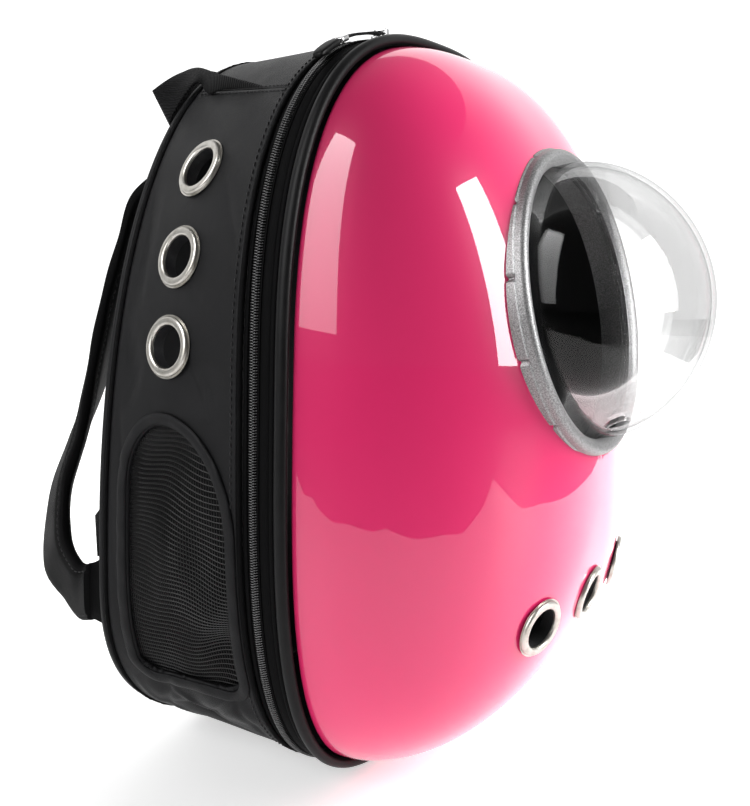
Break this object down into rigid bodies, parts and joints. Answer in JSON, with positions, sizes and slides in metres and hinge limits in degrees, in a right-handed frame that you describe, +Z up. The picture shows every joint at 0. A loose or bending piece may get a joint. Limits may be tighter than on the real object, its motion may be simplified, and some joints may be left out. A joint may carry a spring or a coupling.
{
  "type": "bubble pet carrier backpack",
  "caption": "Soft backpack for carrying a small pet: hard glossy front shell with a clear domed window in a ring, vent eyelets, mesh side windows, a top handle and padded shoulder straps.",
  "frame": {"origin": "middle of the flat base that the bag stands on", "axes": "+Z up, -Y towards the bubble, +Y towards the wearer's back"},
  "size_m": [0.3246, 0.3924, 0.4196],
  "materials": {
    "shell": "glossy hot pink moulded shell",
    "clear": "clear moulded acrylic",
    "silver": "satin speckled silver",
    "eyelet": "bright nickel",
    "cloth": "smooth coated black nylon",
    "webbing": "black twill webbing",
    "vinyl": "soft black vinyl",
    "net": "open black net"
  },
  "bodies": {
    "root": {"window_ring": "silver", "bubble": "clear", "shell": "shell", "front_eyelet_1": "eyelet", "front_eyelet_2": "eyelet", "front_eyelet_3": "eyelet", "shell_trim": "vinyl", "front_band": "cloth", "zipper_coil": "vinyl", "zipper_tape": "cloth", "front_piping": "cloth", "back_piping": "cloth", "side_panel_left": "cloth", "side_panel_right": "cloth", "side_eyelet_left_1": "eyelet", "side_eyelet_left_2": "eyelet", "side_eyelet_left_3": "eyelet", "side_eyelet_right_1": "eyelet", "side_eyelet_right_2": "eyelet", "side_eyelet_right_3": "eyelet", "mesh_window_left": "net", "mesh_window_right": "net", "window_binding_left": "cloth", "window_binding_right": "cloth", "top_panel": "cloth", "bottom_panel": "cloth", "back_panel": "cloth", "zipper_slider": "silver", "zipper_pull": "webbing", "pull_crimp": "silver", "pull_grip": "vinyl", "carry_handle": "webbing", "shoulder_strap_left": "cloth", "shoulder_strap_right": "cloth", "strap_tab_left": "cloth", "strap_tab_right": "cloth", "strap_tail_left": "webbing", "strap_tail_right": "webbing"}
  },
  "joints": []
}
